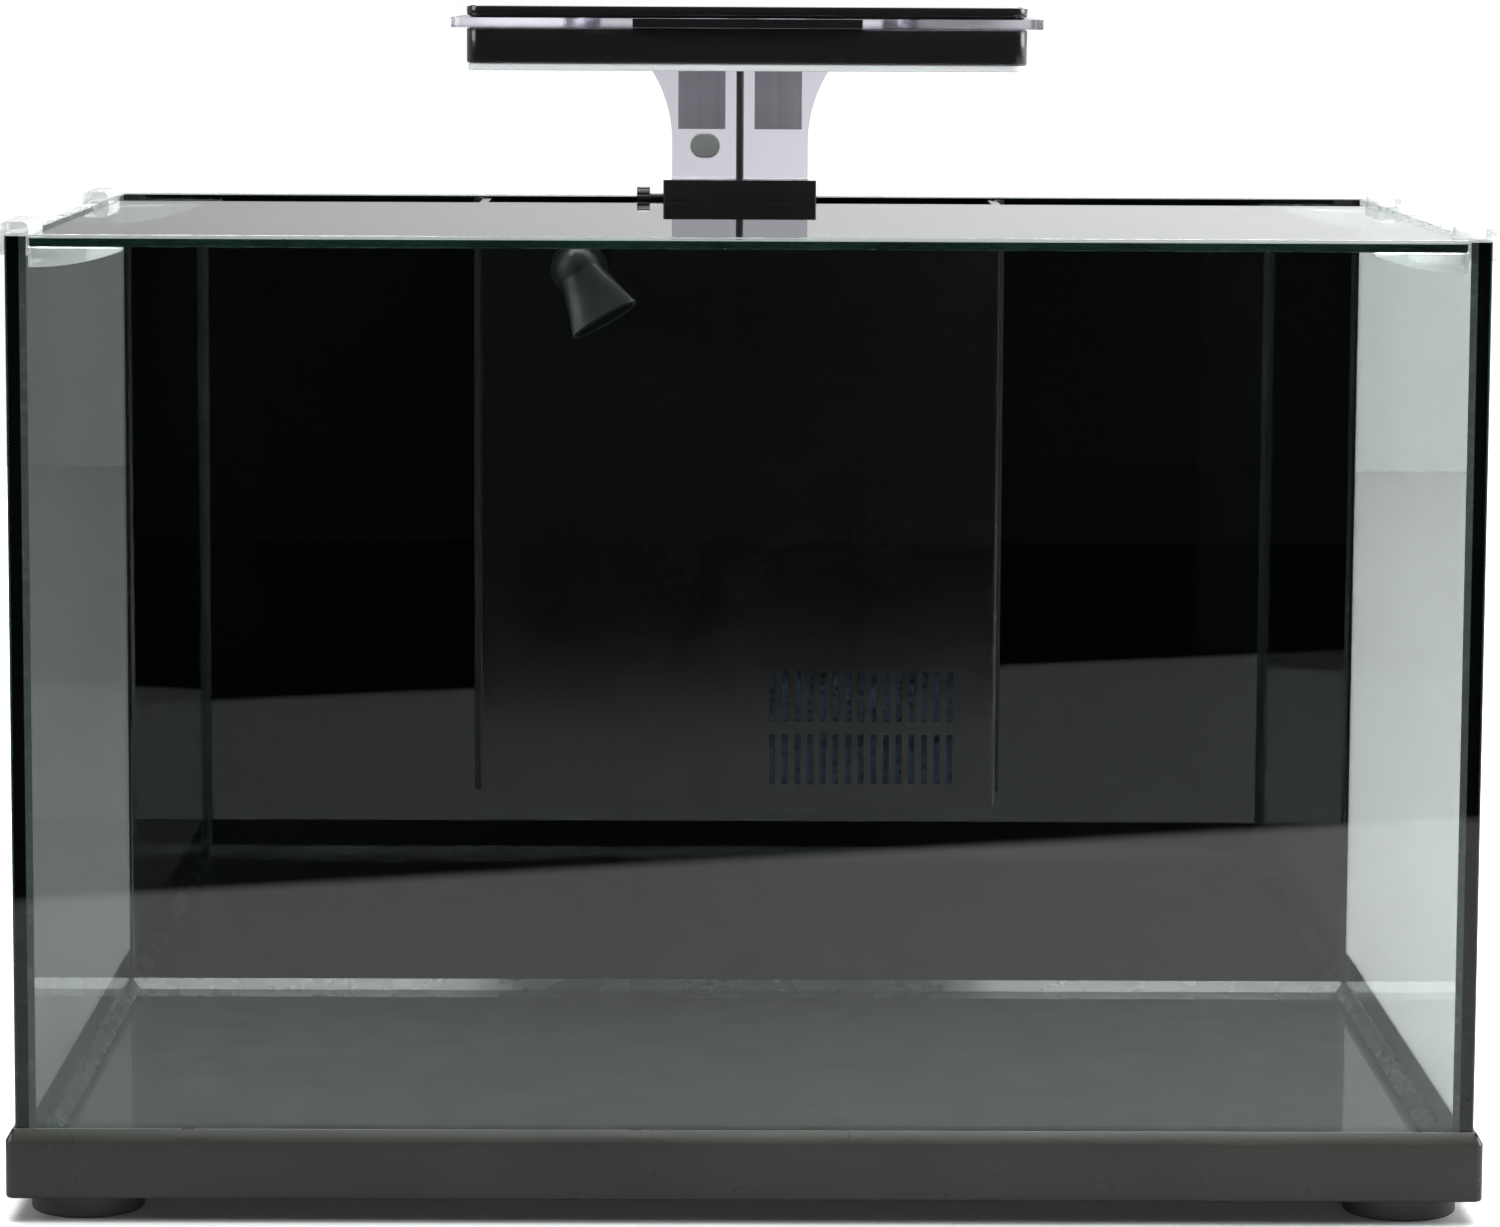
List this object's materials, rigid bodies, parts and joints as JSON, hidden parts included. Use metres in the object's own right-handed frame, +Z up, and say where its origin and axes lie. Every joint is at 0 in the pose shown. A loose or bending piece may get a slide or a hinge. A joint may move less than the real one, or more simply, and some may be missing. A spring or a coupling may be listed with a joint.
{
  "type": "aquarium",
  "caption": "Rectangular glass aquarium on a low base tray with rubber feet, a clipped glass lid, a black rear filter case with a swivelling outlet, and a clip-on lamp on a clear stem.",
  "frame": {"origin": "on the surface under the feet, at the centre of the footprint of the tank with its lamp clamp", "axes": "+X to the right along the front glass, +Y from the front to the rear, +Z up"},
  "size_m": [0.456, 0.363, 0.3729],
  "materials": {
    "acrylic": "clear acrylic",
    "black_film": "gloss black",
    "board_white": "white solder mask",
    "cable_black": "satin",
    "ceramic": "porous ceramic",
    "clear_plastic": "clear",
    "filter_plastic": "satin black",
    "foam": "closed-cell foam",
    "grey_plastic": "translucent grey",
    "lamp_black": "gloss black",
    "led_yellow": "phosphor",
    "lens_white": "opal diffuser",
    "lid_float_glass": "clear float glass, ground edges",
    "nylon": "natural nylon",
    "pump_plastic": "satin black",
    "rubber": "matt",
    "silicone": "gloss black silicone",
    "sponge": "open-cell foam",
    "steel": "plain",
    "tank_glass": "clear float glass",
    "tray_plastic": "satin charcoal"
  },
  "bodies": {
    "tank": {"base_tray": "tray_plastic", "foot_front_left": "rubber", "foot_front_right": "rubber", "foot_rear_left": "rubber", "foot_rear_right": "rubber", "foot_screws": "steel", "levelling_mat": "foam", "bottom_pane": "tank_glass", "front_pane": "tank_glass", "rear_pane": "tank_glass", "left_pane": "tank_glass", "right_pane": "tank_glass", "rear_film": "black_film", "seam_front_left": "silicone", "seam_front_right": "silicone", "seam_rear_left": "silicone", "seam_rear_right": "silicone", "bottom_seam": "silicone", "lid_clip_front_left": "clear_plastic", "lid_clip_front_right": "clear_plastic", "lid_clip_rear_left": "clear_plastic", "lid_clip_rear_right": "clear_plastic", "filter_case": "filter_plastic", "filter_baffle": "filter_plastic", "filter_seals": "silicone", "prefilter_sponge": "sponge", "pump_housing": "pump_plastic", "pump_cover": "pump_plastic", "impeller_shaft": "ceramic", "pump_grommet": "rubber", "riser_tube": "grey_plastic", "outlet_elbow": "grey_plastic", "lamp_clamp": "lamp_black", "cord_relief": "rubber", "lamp_cord": "cable_black", "cord_coil": "cable_black", "cord_tie": "rubber", "cord_tail": "cable_black", "plug_body": "cable_black", "plug_shell": "steel"},
    "lid": {"lid_glass": "lid_float_glass"},
    "nozzle": {"outlet_nozzle": "grey_plastic"},
    "basket": {"media_basket": "grey_plastic", "fine_sponge": "sponge", "ceramic_rings": "ceramic"},
    "rotor": {"impeller": "nylon"},
    "lamp": {"lamp_stem": "acrylic", "stem_inserts": "steel", "lamp_lead": "cable_black", "lamp_body": "lamp_black", "led_board": "board_white", "led_chips": "led_yellow", "lamp_lens": "lens_white", "lamp_cap": "lamp_black", "lamp_insert": "lamp_black"},
    "button": {"switch_button": "grey_plastic"},
    "pad": {"clamp_pad": "rubber"},
    "screw": {"clamp_screw": "lamp_black"},
    "lock_pad": {"lock_tip": "nylon"},
    "lock": {"lock_screw": "lamp_black"}
  },
  "joints": [
    {"name": "lid_lift", "type": "slide", "parent": "tank", "child": "lid", "axis": [0, 0, 1], "range_m": [0, 0.04]},
    {"name": "nozzle_swivel", "type": "hinge", "parent": "tank", "child": "nozzle", "pos_m": [-0.0574, 0.0834, 0.28], "axis": [0, -1, 0], "range_deg": [-120, 60]},
    {"name": "basket_lift", "type": "slide", "parent": "tank", "child": "basket", "axis": [0, 0, 1], "range_m": [0, 0.05]},
    {"name": "rotor_spin", "type": "hinge", "parent": "tank", "child": "rotor", "pos_m": [-0.0574, 0.1135, 0.1075], "axis": [1, 0, 0], "continuous": true},
    {"name": "lamp_height", "type": "slide", "parent": "tank", "child": "lamp", "axis": [0, 0, 1], "range_m": [0, 0.03]},
    {"name": "button_press", "type": "slide", "parent": "lamp", "child": "button", "axis": [0, 1, 0], "range_m": [0, 0.0008], "stiffness_N_per_m": 2000},
    {"name": "clamp_feed", "type": "slide", "parent": "tank", "child": "pad", "axis": [0, 1, 0], "range_m": [0, 0.0025]},
    {"name": "clamp_turn", "type": "hinge", "parent": "pad", "child": "screw", "pos_m": [-0.001, 0.1515, 0.284], "axis": [0, 1, 0], "range_deg": [0, 720]},
    {"name": "lock_feed", "type": "slide", "parent": "tank", "child": "lock_pad", "axis": [-1, 0, 0], "range_m": [0, 0.001]},
    {"name": "lock_turn", "type": "hinge", "parent": "lock_pad", "child": "lock", "pos_m": [-0.031, 0.125, 0.3037], "axis": [-1, 0, 0], "range_deg": [0, 720]}
  ],
  "couplings": [
    {"joint": "clamp_turn", "follows": "clamp_feed", "rad_per_m": 5026},
    {"joint": "lock_turn", "follows": "lock_feed", "rad_per_m": 12566}
  ]
}
